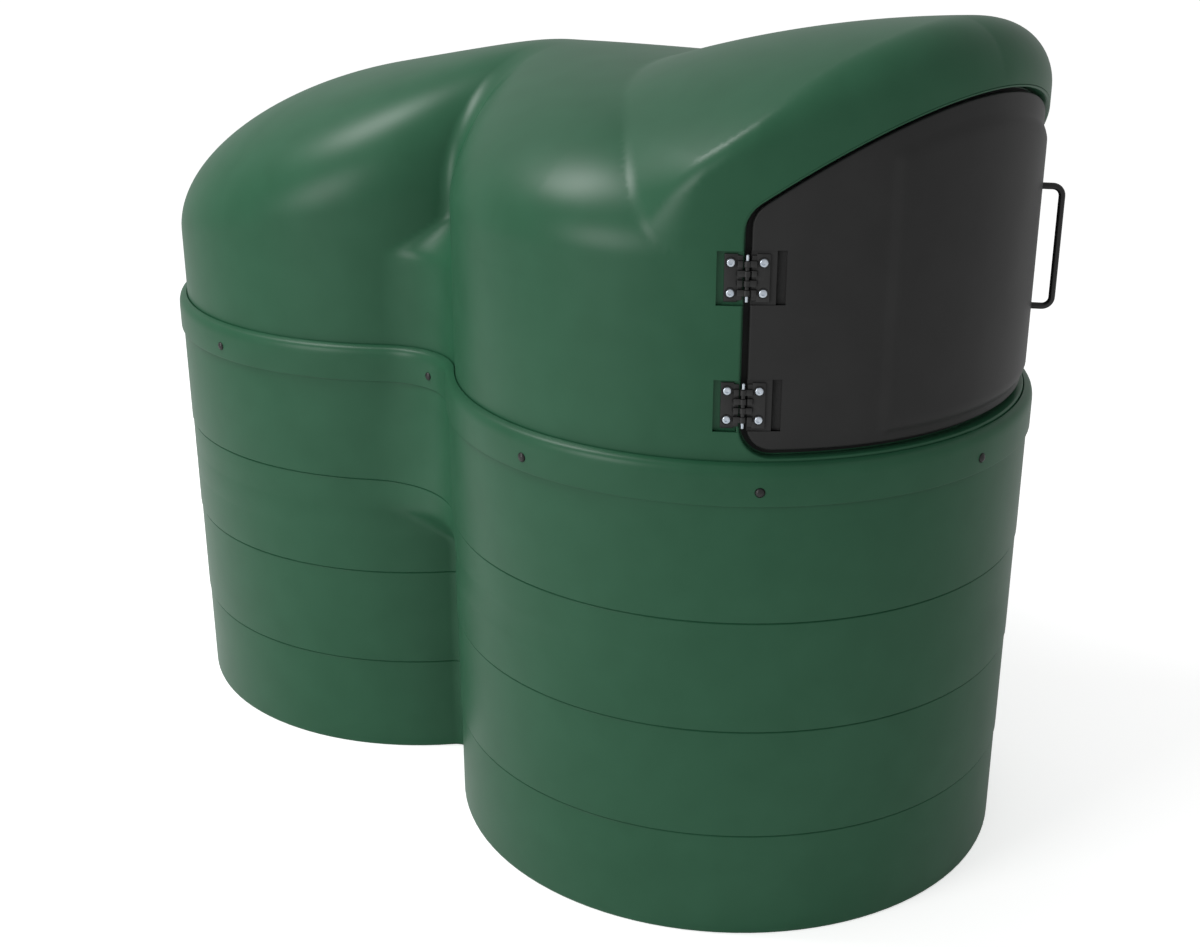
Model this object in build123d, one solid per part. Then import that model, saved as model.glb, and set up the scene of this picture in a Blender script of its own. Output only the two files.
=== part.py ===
from build123d import *
import os
from math import cos, degrees, hypot, radians, sin, sqrt

# Bunded fuel tank in moulded polyethylene, with two round lobes joined at a waist.
# Frame: origin at the middle of the footprint on the floor, +X towards the cabinet door, +Z up.

# Plan of the tank
lobe_spacing = 1090.0
skirt_radius = 650.0
skirt_waist = 445.0

# Bund, from the floor up
step_heights = (244.0, 490.0, 734.0)
band_step = 2.0
skirt_step = 6.0
skirt_bottom = 982.0
rim_top = 1066.0
rim_width = 22.0
rim_land = 1.0
bund_wall = 9.0
valley_depth = 80.0
belly_swell = 13.0
ledge_low = 575.0
ledge_high = 668.0
throat_ledge = 12.0

# Hood
hood_bottom = 1000.0
hood_wall = 8.0
hood_valley_depth = 75.0
saddle_edge = 1284.0
saddle_rise = 76.0
saddle_reach = 200.0
saddle_cover = 15.0
foot_top = 1120.0
walls_top = 1900.0
overhang = 2.0
rear_apex = 1641.0
rear_rise = 350.0
crest_slope = 0.193
front_apex = 1733.0
front_rise = 290.0
arch_bays = 14

# Canopy over the cabinet
canopy_line = ((340.0, 1718.0), (688.0, 1806.0), (1021.0, 1853.0), (1190.0, 1862.0))
canopy_arch = 735.0
vault_share = 0.88
nose_height = 110.0
nose_depth = 90.0
side_cut_point = (899.0, 519.0, 1659.0)
side_cut_normal = (-0.340, 0.886, 0.316)

# Door and its opening
door_recess = 8.0
door_half_angle = 47.6
door_gap = 14.0
door_wall = 6.0
door_bottom = 1085.0
door_top = 1726.0
door_slope = 0.93
top_gap = 7.0
door_corner = 50.0
panel_rise = 9.0
panel_angles = (-23.5, 42.0)
panel_bottom = 1100.0
panel_drop = 37.0
panel_bevel = 8.5
panel_corner = 15.0
jamb_wall = 6.0
jamb_depth = 35.0
lip_reach = 26.0
lip_depth = 14.0
seal_width = 9.0

# Hinges
hinge_heights = (1174.5, 1419.0)
hinge_tall = 90.0
leaf_wide = 34.0
leaf_start = 8.0
leaf_thick = 3.5
knuckles = 5
knuckle_radius = 6.5
knuckle_gap = 1.0
pin_radius = 3.0
axis_proud = 3.0
pocket_margin = 6.0
hood_pocket_reach = 56.0
door_pocket_reach = 72.0
slot_wide = 18.0
slot_depth = 14.0

# Handle
handle_angle = 34.0
handle_low = 1233.0
handle_long = 257.0
handle_rod = 14.0
handle_reach = 42.0
handle_bend = 20.0

# Inner tank
inner_gap = 30.0
inner_wall = 8.0
deck_height = 1030.0
rear_body_gap = 40.0
cabinet_back = 200.0

# Fittings on the deck: distance from the front lobe's axis and from the middle plane
lid_place = (0.0, 0.0)
lid_radius = 200.0
lid_ring_wall = 25.0
lid_ring_tall = 14.0
lid_thick = 18.0
fill_place = (215.0, 400.0)
vent_place = (-125.0, 410.0)
gauge_place = (215.0, -400.0)
outlet_place = (330.0, 0.0)
fitting_wall = 5.0
cap_tall = 30.0
fill_radius = 40.0
fill_tall = 140.0
vent_radius = 25.0
vent_tall = 300.0
vent_cap_radius = 50.0
vent_skirt = 25.0
gauge_radius = 35.0
gauge_tall = 70.0

# Running and seat clearances
seat_gap = 0.3
pin_clearance = 0.3
overcut = 1.0

half_spacing = lobe_spacing / 2
hood_radius = skirt_radius - rim_width
hood_waist = skirt_waist - rim_width
door_radius = hood_radius - door_recess
panel_radius = door_radius + panel_rise
opening_half_angle = door_half_angle + degrees(door_gap / door_radius)
hinge_angle = door_half_angle + degrees(door_gap / 2 / door_radius)
split_angle = radians(100)
far = 3000.0
ON_BASE = (Align.CENTER, Align.CENTER, Align.MIN)


def waist_blend(radius, waist):
    """Radius of the concave arc that joins the lobes, and where it touches them."""
    blend = (half_spacing**2 + waist**2 - radius**2) / (2 * (radius - waist))
    share = radius / (radius + blend)
    return blend, half_spacing * (1 - share), (waist + blend) * share


def half_width(x, radius, waist):
    """Half of the plan's width at a distance from its middle."""
    blend, touch_x, touch_y = waist_blend(radius, waist)
    if abs(x) < touch_x:
        return waist + blend - sqrt(blend**2 - x**2)
    return sqrt(radius**2 - (abs(x) - half_spacing) ** 2)


def outline(radius, waist, height):
    """Plan of the tank at a height: two lobes joined by concave arcs that touch both."""
    blend, touch_x, touch_y = waist_blend(radius, waist)
    edges = []
    for end in (1, -1):
        nose = (end * (half_spacing + radius), 0)
        edges.append(ThreePointArc((end * touch_x, touch_y), nose, (end * touch_x, -touch_y)))
        edges.append(ThreePointArc((touch_x, end * touch_y), (0, end * waist), (-touch_x, end * touch_y)))
    return Pos(0, 0, height) * make_face(edges)


def split_outline(radius, waist, height):
    """The same plan with each lobe's arc split, so that two such plans loft without a twist."""
    blend, touch_x, touch_y = waist_blend(radius, waist)
    split_x = half_spacing + radius * cos(split_angle)
    split_y = radius * sin(split_angle)
    middle_x = (touch_x + split_x) / 2
    middle_y = half_width(middle_x, radius, waist)
    edges = []
    for end in (1, -1):
        nose = (end * (half_spacing + radius), 0)
        edges.append(ThreePointArc((end * split_x, split_y), nose, (end * split_x, -split_y)))
        edges.append(ThreePointArc((touch_x, end * touch_y), (0, end * waist), (-touch_x, end * touch_y)))
        for side in (1, -1):
            touch = (end * touch_x, side * touch_y)
            middle = (end * middle_x, side * middle_y)
            edges.append(ThreePointArc(touch, middle, (end * split_x, side * split_y)))
    return Pos(0, 0, height) * make_face(edges)


def prism(radius, waist, low, high):
    """Upright block of the tank's plan between two heights."""
    return extrude(outline(radius, waist, low), high - low)


def taper(radius, waist_low, waist_high, low, high):
    """Block whose waist widens or narrows from one height to the other."""
    return loft([split_outline(radius, waist_low, low), split_outline(radius, waist_high, high)], ruled=True)


def band_radius(bands_below_skirt):
    """Lobe radius of a band of the bund, each a little smaller than the one above."""
    return skirt_radius - skirt_step - band_step * bands_below_skirt


def bund_form(inset):
    """Form of the bund up to the skirt, or of its inside where inset is the wall."""
    valley = skirt_waist - valley_depth - inset
    belly = skirt_waist + belly_swell - inset
    first, second, third = (height + inset for height in step_heights)
    ledge_start, ledge_end = ledge_low + inset, ledge_high + inset
    radii = [band_radius(bands) - inset for bands in (3, 2, 1, 0)]
    return prism(radii[0], valley, inset, first).fuse(
        prism(radii[1], valley, first, second),
        prism(radii[2], valley, second, ledge_start),
        taper(radii[2], valley, belly, ledge_start, ledge_end),
        prism(radii[2], belly, ledge_end, third),
        taper(radii[3], belly, skirt_waist - inset, third, skirt_bottom),
    )


def bund_tank():
    """Bund shell with its bands and rim, open at the top where the hood closes it."""
    rim = prism(skirt_radius, skirt_waist, skirt_bottom, rim_top)
    rim = fillet(rim.faces().sort_by(Axis.Z)[-1].edges(), rim_width - rim_land)
    mouth = prism(hood_radius + seat_gap, hood_waist + seat_gap, hood_bottom, rim_top + overcut)
    ledge_radius = hood_radius - throat_ledge
    ledge_waist = hood_waist - throat_ledge
    throat = prism(ledge_radius, ledge_waist, skirt_bottom - bund_wall, hood_bottom + overcut)
    return bund_form(0) + rim - bund_form(bund_wall) - throat - mouth


def slab(low):
    """Wide block that starts at a height."""
    return Pos(0, 0, low) * Box(far, far, far, align=ON_BASE)


def hood_walls(inset):
    """Upright walls of the hood: at the waist they slope in to a valley above a convex edge."""
    radius = hood_radius - inset
    outer = hood_waist - inset
    valley = outer - hood_valley_depth
    edge = saddle_edge - inset
    return prism(radius, outer, hood_bottom - inset, edge).fuse(
        taper(radius, outer, valley, edge, edge + saddle_rise),
        prism(radius, valley, edge + saddle_rise, walls_top),
    )


def half_dome(apex, rise, slope, inset):
    """Rear half of a lobe's top: an elliptical cap, a little wider than the walls, sheared up the slope."""
    radius = hood_radius + overhang - inset
    spring = apex - rise
    low = rim_top - inset
    cap = EllipticalCenterArc((0, spring), radius, rise - inset, 0, arc_size=90)
    side = Polyline((0, apex - inset), (0, low), (radius, low), (radius, spring))
    quarter = revolve(Plane.XZ * make_face([cap, side]), Axis.Z, revolution_arc=180)
    solid = Rot(0, 0, 90) * quarter
    if slope:
        shear = Matrix([[1, 0, 0, 0], [0, 1, 0, 0], [slope, 0, 1, 0], [0, 0, 0, 1]])
        solid = solid.transform_geometry(shear) & slab(low)
    return solid


def crest_height(x):
    """Height of the hood's crest, climbing from the rear dome and level over the front one."""
    return min(rear_apex + crest_slope * (x + half_spacing), front_apex)


def arch(x, inset):
    """Cross-section of the roof between the lobes: upright sides under half an ellipse."""
    share = (x + half_spacing) / lobe_spacing
    rise = rear_rise + (front_rise - rear_rise) * share
    width = half_width(x, hood_radius, hood_waist - hood_valley_depth) + overhang - inset
    spring = crest_height(x) - rise
    low = rim_top - inset
    cap = EllipticalCenterArc((0, spring), width, rise - inset, 0, arc_size=180)
    legs = Polyline((-width, spring), (-width, low), (width, low), (width, spring))
    return Plane((x, 0, 0), x_dir=(0, 1, 0), z_dir=(1, 0, 0)) * make_face([cap, legs])


def canopy(inset):
    """Roof over the cabinet: an arched vault with a rounded nose, cut back at its sides."""
    half = canopy_arch * vault_share
    drop = canopy_arch - sqrt(canopy_arch**2 - half**2)
    low = saddle_edge - inset
    sections = []
    for x, crest in canopy_line:
        top = crest - inset
        edge = top - drop
        roof = ThreePointArc((-half, edge), (0, top), (half, edge))
        legs = Polyline((-half, edge), (-half, low), (half, low), (half, edge))
        sections.append(Plane((x, 0, 0), x_dir=(0, 1, 0), z_dir=(1, 0, 0)) * make_face([roof, legs]))
    radius = hood_radius + overhang - inset
    nose_top = canopy_line[-1][1] - inset
    nose_start = nose_top - nose_height
    nose = EllipticalCenterArc((radius - nose_depth, nose_start), nose_depth, nose_height, 0, arc_size=90)
    corner = (radius - nose_depth, nose_top)
    side = Polyline(corner, (0, nose_top), (0, low), (radius, low), (radius, nose_start))
    lobe = revolve(Plane.XZ * make_face([nose, side]), Axis.Z)
    form = loft(sections) & Pos(half_spacing, 0, 0) * lobe
    for side in (1, -1):
        normal = Vector(side_cut_normal[0], side * side_cut_normal[1], side_cut_normal[2])
        point = Vector(side_cut_point[0], side * side_cut_point[1], side_cut_point[2]) - normal * inset
        form = form - Plane(point, z_dir=normal) * Box(far, far, far, align=ON_BASE)
    return form


def roof(inset):
    """Everything under the hood's top surface, a little wider than the walls."""
    bay = lobe_spacing / arch_bays
    low = hood_bottom - inset
    saddle_top = saddle_edge + saddle_rise + saddle_cover - inset
    return canopy(inset).fuse(
        Pos(-half_spacing, 0, 0) * half_dome(rear_apex, rear_rise, crest_slope, inset),
        Pos(half_spacing, 0, 0) * Rot(0, 0, 180) * half_dome(front_apex, front_rise, 0, inset),
        loft([arch(n * bay - half_spacing, inset) for n in range(arch_bays + 1)], ruled=True),
        Pos(0, 0, low) * Box(far, far, foot_top - low, align=ON_BASE),
        Pos(0, 0, low) * Box(2 * saddle_reach, far, saddle_top - low, align=ON_BASE),
    )


def hood_form(inset):
    """Form of the hood, or of its inside where inset is the wall."""
    return hood_walls(inset) & roof(inset)


def ring(inner, outer):
    """Upright ring around the front lobe's axis."""
    wall = Cylinder(outer, far, align=ON_BASE) - Cylinder(inner, far, align=ON_BASE)
    return Pos(half_spacing, 0, 0) * wall


def sector(radii, angles, low, top, corner):
    """Curved block on the front lobe with a sloping top and rounded corners.

    The top is the height of the slope's plane where the door's face is farthest forward.
    """
    corners = [(0, 0)]
    for angle in (angles[0], (angles[0] + angles[1]) / 2, angles[1]):
        corners.append((far * cos(radians(angle)), far * sin(radians(angle))))
    wedge = Pos(half_spacing, 0, low) * extrude(make_face(Polyline(*corners, corners[0])), far)
    slope = Plane((half_spacing + door_radius, 0, top), x_dir=(0, 1, 0), z_dir=(-door_slope, 0, 1))
    thick = (door_radius - 2 * jamb_depth, door_radius + jamb_depth)
    block = (ring(*thick) & wedge) - slope * Box(2 * far, 2 * far, 2 * far, align=ON_BASE)
    reach = 2 * (thick[1] - thick[0])
    across = [edge for edge in block.edges().filter_by(GeomType.LINE) if edge.length < reach]
    return fillet(across, corner) & ring(*radii)


def opening(radii, reach):
    """Sector that follows the cabinet opening and reaches beyond its edge."""
    half_angle = opening_half_angle + degrees(reach / door_radius)
    low = door_bottom - door_gap - reach
    top = door_top + top_gap + reach * hypot(1, door_slope)
    return sector(radii, (-half_angle, half_angle), low, top, door_corner + door_gap + reach)


def at_hinge(solid):
    """Place a solid drawn at the hinge axis, with X outwards and Y towards the door."""
    return Pos(half_spacing, 0, 0) * Rot(0, 0, -hinge_angle) * Pos(door_radius + axis_proud, 0, 0) * solid


def span_box(x_span, y_span, z_span):
    """Box between pairs of coordinates."""
    spans = (x_span, y_span, z_span)
    size = [high - low for low, high in spans]
    centre = [(low + high) / 2 for low, high in spans]
    return Pos(*centre) * Box(*size)


def hinge_span(height, grow):
    """Heights that a hinge pocket takes up, with its margin and what is added to it."""
    half = hinge_tall / 2 + pocket_margin + grow
    return (height - half, height + half)


def hood():
    """Hood shell with the cabinet opening, its jamb and the lip that carries the seal."""
    shell = (hood_form(0) - hood_form(hood_wall)) & slab(hood_bottom)
    jamb = opening((jamb_radius, hood_radius - hood_wall / 2), jamb_wall)
    hole = opening((jamb_radius - jamb_wall, hood_radius + jamb_wall), 0)
    lip_radii = (lip_radius - jamb_wall, lip_radius)
    lip_hole = opening((lip_radius - 2 * jamb_wall, lip_radius + jamb_wall), -lip_reach)
    lip = opening(lip_radii, jamb_wall / 2) - lip_hole
    shell = shell + jamb - hole + lip
    for height in hinge_heights:
        lining = span_box(
            (-pocket_floor - door_wall, -axis_proud),
            (-hood_pocket_reach - door_wall, -door_gap / 2),
            hinge_span(height, door_wall),
        )
        pocket = span_box((-pocket_floor, above), (-hood_pocket_reach, 0), hinge_span(height, 0))
        shell = shell + at_hinge(lining) - at_hinge(pocket)
    return shell


def door_seal():
    """Rubber seal on the lip, under the edge of the door."""
    radii = (lip_radius + seat_gap, door_radius - door_wall - seat_gap)
    outer = opening(radii, seal_width - lip_reach)
    inner = opening((radii[0] - seal_width, radii[1] + seal_width), seat_gap - lip_reach)
    return outer - inner


def door_panel():
    """Door skin with its raised panel, hollow behind, and the pockets of its hinges."""
    inner_face = door_radius - door_wall
    half = door_half_angle
    skin = sector((inner_face, door_radius), (-half, half), door_bottom, door_top, door_corner)
    top = door_top - panel_drop
    raised = sector((inner_face, panel_radius), panel_angles, panel_bottom, top, panel_corner)
    face = raised.faces().filter_by(GeomType.CYLINDER).sort_by(SortBy.AREA)[-1]
    raised = chamfer(face.edges(), panel_bevel)
    inset = panel_bevel + door_wall
    turn = degrees(inset / door_radius)
    angles = (panel_angles[0] + turn, panel_angles[1] - turn)
    behind = (inner_face - door_wall, panel_radius - door_wall)
    hollow = sector(behind, angles, panel_bottom + inset, top - inset, panel_corner)
    panel = skin + raised - hollow
    slot_start = door_pocket_reach - slot_wide
    for height in hinge_heights:
        heights = hinge_span(height, 0)
        lining = span_box(
            (-slot_depth - door_wall, -pocket_floor),
            (slot_start - door_wall, door_pocket_reach + door_wall),
            hinge_span(height, door_wall),
        )
        slot = span_box((-slot_depth, above), (slot_start, door_pocket_reach), heights)
        pocket = span_box((-pocket_floor, above), (0, door_pocket_reach), heights)
        panel = panel + at_hinge(lining) - at_hinge(slot) - at_hinge(pocket)
    return panel


def leaf(height, side):
    """Hinge leaf: a plate with its share of the knuckles, on the door (1) or the hood (-1)."""
    plate_middle = -axis_proud - leaf_thick / 2
    plate = Pos(plate_middle, side * (leaf_start + leaf_wide / 2), height)
    body = plate * Box(leaf_thick, leaf_wide, hinge_tall)
    barrel_stack = hinge_tall - 2 * pin_radius
    tall = barrel_stack / knuckles
    for n in range(knuckles):
        if (n % 2 == 0) == (side == -1):
            z = height - barrel_stack / 2 + (n + 0.5) * tall
            barrel = Pos(0, 0, z) * Cylinder(knuckle_radius, tall - knuckle_gap)
            arm_wide = leaf_start + knuckle_gap
            arm = Pos(plate_middle, side * arm_wide / 2, z) * Box(leaf_thick, arm_wide, tall - knuckle_gap)
            body = body + barrel + arm
    return body - Pos(0, 0, height) * Cylinder(pin_radius + pin_clearance, 2 * hinge_tall)


def handle():
    """Bail handle of bent rod that stands on the raised panel."""
    foot = panel_radius + seat_gap
    grip = panel_radius + handle_reach
    high = handle_low + handle_long
    path = FilletPolyline(
        (foot, 0, handle_low), (grip, 0, handle_low), (grip, 0, high), (foot, 0, high), radius=handle_bend
    )
    rod = sweep(Plane((foot, 0, handle_low), z_dir=(1, 0, 0)) * Circle(handle_rod / 2), path=path)
    return Pos(half_spacing, 0, 0) * Rot(0, 0, handle_angle) * rod


def inner_tank():
    """Inner tank shell that holds the fuel, open under its top."""
    floor = bund_wall + inner_wall
    outer = prism(inner_radius, inner_waist, bund_wall, deck_height)
    return outer - prism(inner_radius - inner_wall, inner_waist - inner_wall, floor, deck_height + inner_wall)


def rear_body(inset):
    """Raised rear part of the inner tank: a sheared dome and the arch that ends at the cabinet."""
    gap = hood_wall + rear_body_gap + inset
    radius = hood_radius - gap
    waist = inner_waist - rear_body_gap - inset
    apex = rear_apex - gap
    low = deck_height - inset
    spring = rear_apex - rear_rise - gap
    cap = EllipticalCenterArc((0, spring), radius, apex - spring, 0, arc_size=90)
    side = Polyline((0, apex), (0, low), (radius, low), (radius, spring))
    dome = revolve(Plane.XZ * make_face([cap, side]), Axis.Z)
    shear = Matrix([[1, 0, 0, 0], [0, 1, 0, 0], [crest_slope, 0, 1, 0], [0, 0, 0, 1]])
    dome = Pos(-half_spacing, 0, 0) * dome.transform_geometry(shear)
    arch_spring = apex - waist
    roof = ThreePointArc((waist, arch_spring), (0, apex), (-waist, arch_spring))
    legs = Polyline((-waist, arch_spring), (-waist, low), (waist, low), (waist, arch_spring))
    start = Plane((-half_spacing, 0, 0), x_dir=(0, 1, 0), z_dir=(1, 0, 0))
    passage = extrude(start * make_face([roof, legs]), half_spacing + cabinet_back - inset)
    return (dome & slab(low)) + passage


def inner_tank_top():
    """Deck of the inner tank with its raised rear body, one hollow with the tank below."""
    deck = prism(inner_radius, inner_waist, deck_height, deck_height + inner_wall)
    return deck + rear_body(0) - rear_body(inner_wall)


def on_deck(place, solid, height=0.0):
    """Stand a solid on the deck, at a place measured from the front lobe's axis."""
    return Pos(half_spacing + place[0], place[1], deck_height + inner_wall + height) * solid


def tube(radius, wall, tall):
    """Upright tube or ring."""
    return Cylinder(radius, tall, align=ON_BASE) - Cylinder(radius - wall, tall, align=ON_BASE)


def cap(radius, tall):
    """Round screw cap with a softened top edge."""
    body = Cylinder(radius, tall, align=ON_BASE)
    return chamfer(body.edges().sort_by(Axis.Z)[-1], tall / 6)


def vent_cap():
    """Mushroom cap of the vent: a shallow cone over a skirt, open below around its pipe."""
    hat = Pos(0, 0, vent_skirt) * Cone(vent_cap_radius, vent_radius, vent_skirt, align=ON_BASE)
    hat = hat + Cylinder(vent_cap_radius, vent_skirt, align=ON_BASE)
    return hat - Cylinder(vent_cap_radius - fitting_wall, vent_skirt, align=ON_BASE)


pocket_floor = axis_proud + leaf_thick + seat_gap
above = 2 * door_recess + panel_rise
jamb_radius = door_radius - jamb_depth
lip_radius = door_radius - door_wall - lip_depth
inner_radius = band_radius(3) - inner_gap
inner_waist = skirt_waist - valley_depth - inner_gap

nodes = {
    "bund_tank": bund_tank(),
    "hood": hood(),
    "door_panel": door_panel(),
    "door_seal": door_seal(),
    "door_handle": handle(),
    "inner_tank": inner_tank(),
    "inner_tank_top": inner_tank_top(),
    "inspection_ring": on_deck(lid_place, tube(lid_radius, lid_ring_wall, lid_ring_tall)),
    "inspection_lid": on_deck(lid_place, cap(lid_radius, lid_thick), lid_ring_tall),
    "fill_pipe": on_deck(fill_place, tube(fill_radius, fitting_wall, fill_tall)),
    "fill_cap": on_deck(fill_place, cap(fill_radius + fitting_wall, cap_tall), fill_tall),
    "vent_pipe": on_deck(vent_place, tube(vent_radius, fitting_wall, vent_tall)),
    "vent_cap": on_deck(vent_place, vent_cap(), vent_tall - vent_skirt),
    "gauge_socket": on_deck(gauge_place, tube(gauge_radius, fitting_wall, cap_tall)),
    "gauge_cap": on_deck(gauge_place, cap(gauge_radius + fitting_wall, gauge_tall), cap_tall),
    "outlet_socket": on_deck(outlet_place, tube(fill_radius, fitting_wall, cap_tall / 2)),
    "outlet_plug": on_deck(outlet_place, cap(fill_radius, cap_tall / 2), cap_tall / 2),
}
for name, height in zip(("lower", "upper"), hinge_heights):
    nodes[f"{name}_hinge_hood_leaf"] = at_hinge(leaf(height, -1))
    nodes[f"{name}_hinge_door_leaf"] = at_hinge(leaf(height, 1))
    nodes[f"{name}_hinge_pin"] = at_hinge(Pos(0, 0, height) * Cylinder(pin_radius, hinge_tall))

os.makedirs("parts", exist_ok=True)
for name, solid in nodes.items():
    export_step(solid, f"parts/{name}.step")
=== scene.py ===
from math import atan, cos, hypot, pi, radians, sin

import bmesh
import bpy
import numpy as np
from mathutils import Matrix, Vector


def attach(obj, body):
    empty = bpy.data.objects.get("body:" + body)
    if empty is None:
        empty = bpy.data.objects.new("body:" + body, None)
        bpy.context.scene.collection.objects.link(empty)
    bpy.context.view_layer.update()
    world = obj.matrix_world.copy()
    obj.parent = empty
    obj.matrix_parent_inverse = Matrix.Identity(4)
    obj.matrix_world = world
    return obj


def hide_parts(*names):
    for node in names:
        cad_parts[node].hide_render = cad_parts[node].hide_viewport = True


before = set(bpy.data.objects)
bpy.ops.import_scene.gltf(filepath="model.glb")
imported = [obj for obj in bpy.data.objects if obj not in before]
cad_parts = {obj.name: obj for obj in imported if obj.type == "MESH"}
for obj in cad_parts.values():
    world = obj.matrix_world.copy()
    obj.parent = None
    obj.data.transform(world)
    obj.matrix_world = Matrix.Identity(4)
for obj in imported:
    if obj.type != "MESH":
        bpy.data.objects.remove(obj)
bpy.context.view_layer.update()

# Bunded fuel tank of moulded polyethylene: a bund, a hood over a cabinet, and a hinged door.
# Sizes are in millimetres as in the solids; a mesh is made in metres.
MM = 0.001

# Plan: two round lobes whose axes stand this far from the middle
LOBE = 545.0
SKIRT_RADIUS = 650.0
SKIRT_WAIST = 445.0
RIM_WIDTH = 22.0
HOOD_RADIUS = SKIRT_RADIUS - RIM_WIDTH
HOOD_WAIST = SKIRT_WAIST - RIM_WIDTH

# Bund
STEP_HEIGHTS = (244.0, 490.0, 734.0)
BAND_STEP = 2.0
VALLEY_STEP = 1.0
GROOVE_DEEP = 3.0
GROOVE_TALL = 5.0
SKIRT_STEP = 6.0
SKIRT_BOTTOM = 982.0
SKIRT_LIP = 1.0
RIM_TOP = 1066.0
RIM_FALL = 8.0
RIM_LAND = 3.0
RIM_SEAM = 0.4
SEAM_DEEP = 4.0
BUND_WALL = 9.0
BUND_VALLEY = 80.0
BELLY = 13.0
LEDGE_LOW = 575.0
LEDGE_HIGH = 668.0
THROAT_LEDGE = 12.0
FLOOR_LEAN = 10

# Easing of the bund's corners: the length taken off each side of one
SHARP = 0
GROOVE_EASE = 0.5
BAND_EASE = 1
LIP_EASE = 2
FLOOR_EASE = 8
RIM_EASE = 21
LEDGE_EASE = 22

# Hood
HOOD_BOTTOM = 1000.0
HOOD_WALL = 8.0
HOOD_VALLEY = 75.0
SADDLE_EDGE = 1284.0
SADDLE_RISE = 76.0
SADDLE_EASE = 14.0
REAR_APEX = 1641.0
REAR_RISE = 350.0
CREST_SLOPE = 0.193
FRONT_APEX = 1733.0
FRONT_RISE = 290.0
CREST_EASE = 16.0
VALLEY_FILLET = 16.0
# The valley's fillet is full where one less the cosine of the bend reaches this
FULL_BEND = 0.25

# Canopy
CANOPY_LINE = ((340.0, 1718.0), (688.0, 1806.0), (1021.0, 1853.0), (1190.0, 1862.0))
CANOPY_CURVE = np.polyfit(*np.array(CANOPY_LINE).T, 3)
CANOPY_ARCH = 735.0
ARCH_SHARE = 0.93
# Rounding of the nose over the door, by the angle in degrees from its middle
NOSE_ANGLES = (0, 32, 40, 47, 52)
NOSE_EDGES = (120.0, 78.0, 55.0, 30.0, 22.0)
# Half width of the hollow face at each side of the canopy: in the middle of the face, then how it
# grows along the tank, upwards, and with the square and product of those, over each reach
SIDE_MIDDLE = (700.0, 1550.0)
SIDE_REACH = (300.0, 150.0)
SIDE_WIDTHS = (542.3, 19.5, -89.0, -17.0, 103.9, -25.8)
SIDE_LEAN = 0.85
SIDE_EDGE = 16.0

# Lattice on which the hood's form is meshed
LATTICE = 12.0
LATTICE_MARGIN = 20
SETTLE_ROUNDS = 6
PULLS = 2

# How far a cutting tool reaches past what it cuts, outwards and inwards, and past another tool's face
TOOL_OUT = 30
TOOL_IN = 20
TOOL_APART = 0.1

# Door and its opening
DOOR_RECESS = 8.0
DOOR_RADIUS = HOOD_RADIUS - DOOR_RECESS
DOOR_HALF_ANGLE = radians(47.6)
DOOR_GAP = 14.0
DOOR_WALL = 6.0
DOOR_BOTTOM = 1085.0
DOOR_TOP = 1726.0
DOOR_SLOPE = 0.93
TOP_GAP = 7.0
DOOR_CORNER = 50.0
PANEL_RISE = 9.0
PANEL_ANGLES = (radians(-23.5), radians(42.0))
PANEL_BOTTOM = 1100.0
PANEL_DROP = 37.0
PANEL_BEVEL = 18.0
PANEL_CORNER = 15.0
BEVEL_EASE = 2.0
BEND_SPREAD = np.array([-4, 4])
PANEL_ROWS = 48
# Rounds in which the place where the sloping top meets its corner is worked out
TOUCH_ROUNDS = 8
LIP_REACH = 26.0
LIP_EDGE = 2
LIP_LAP = 1
SEAL_WIDE = 9.0
SEAL_FLANGE = 1.8
SEAL_START = 3.0
EDGE_ROLL = 4.0
SEAT = 0.3
LIP_DEPTH = 14.0
LIP_RADIUS = DOOR_RADIUS - DOOR_WALL - LIP_DEPTH
JAMB_DEPTH = 35.0
JAMB_RADIUS = DOOR_RADIUS - JAMB_DEPTH
JAMB_WALL = 6.0
# The jamb's edge starts this far past the roll and under the hood's face
JAMB_LAP = 0.8
JAMB_SINK = 1.5

# Hinges
HINGE_HEIGHTS = {"lower": 1174.5, "upper": 1419.0}
HINGE_TALL = 90.0
AXIS_PROUD = 3.0
LEAF_REACH = 42.0
LEAF_EDGE = 1.2
POCKET_FLOOR = 6.8
POCKET_TALL = 102.0
HOOD_POCKET = 56.0
DOOR_POCKET = 72.0
POCKET_EASE = 0.2
SLOT_WIDE = 18.0
SLOT_DEPTH = 14.0
LINING_WALL = 5.0
LINING_OPEN = 9
TRAY_SHORT = 2
TRAY_RIM = -1.5
WELL_RIM = -9.0
KNUCKLES = 4
KNUCKLE_RADIUS = 6.5
KNUCKLE_TALL = 12.0
KNUCKLE_PITCH = 18.0
KNUCKLE_CLEAR = 1.5
KNUCKLE_EDGE = (1, 0.8)
NECK_LAP = 2
NECK_SHORT = 6
HUMP_REACH = 17.0
HUMP_RISE = 3.0
HUMP_LAP = 1
PIN_RADIUS = 3.0
PIN_TIP = (1.5, 1.2)
SLEEVE_RADIUS = 4.2
SCREW_OUT = 30.0
SCREW_UP = 28.5
# Turned profiles of a hinge screw's head and of the raised ring round it: radius and height
SCREW_HEAD = ((8.0, 0.2), (8.0, 1.6), (6.9, 3.0), (5.6, 3.4), (3.6, 3.4), (3.4, 1.2))
SCREW_RING = ((10.8, -0.5), (10.0, 1.6), (8.9, 1.6), (8.7, 0.2))
HINGE_ANGLE = -(DOOR_HALF_ANGLE + DOOR_GAP / 2 / DOOR_RADIUS)
ON_LOBE = Matrix.Translation((LOBE, 0, 0)) @ Matrix.Rotation(HINGE_ANGLE, 4, "Z")
HINGE_PLACE = ON_LOBE @ Matrix.Translation((DOOR_RADIUS + AXIS_PROUD, 0, 0))
TO_X = Matrix.Rotation(pi / 2, 4, "Y")

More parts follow.
